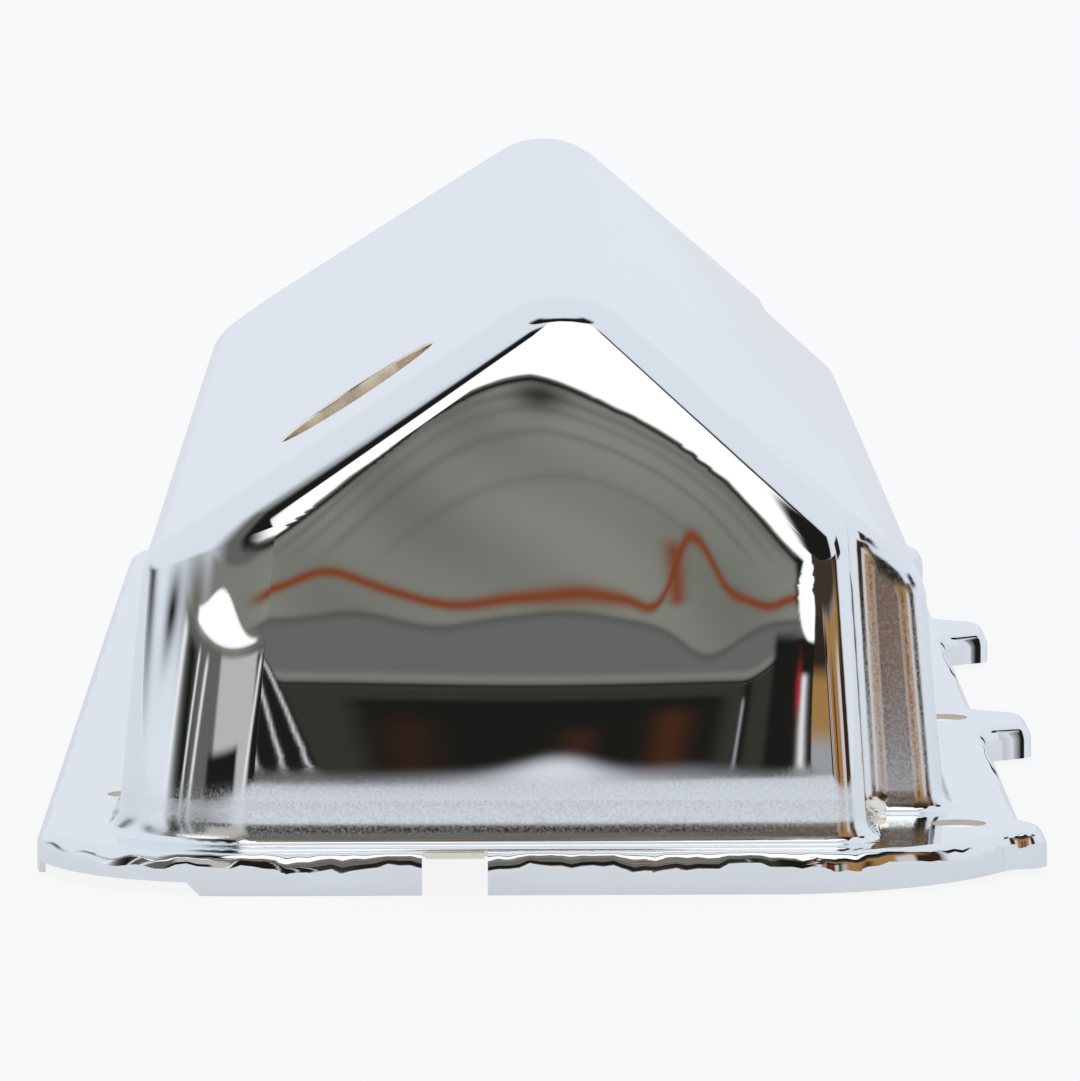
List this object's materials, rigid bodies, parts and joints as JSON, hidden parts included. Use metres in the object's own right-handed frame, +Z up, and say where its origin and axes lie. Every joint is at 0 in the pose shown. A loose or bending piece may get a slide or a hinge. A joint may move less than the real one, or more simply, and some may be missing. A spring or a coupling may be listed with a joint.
{
  "type": "engine valve cover",
  "caption": "Pressed sheet valve cover for a V engine: gabled dome with a breather hole, down-turned lip and bolt ears on its flange.",
  "frame": {"origin": "centre of the overall plan, at the rim of the lip the cover rests on", "axes": "+Y along the cover from the notched front end to the back, +Z up out of the dome, +X towards the four-bolt side"},
  "size_m": [0.1796, 0.489, 0.0982],
  "materials": {
    "chrome_plate": "polished"
  },
  "bodies": {
    "root": {"cover_shell": "chrome_plate"}
  },
  "joints": []
}
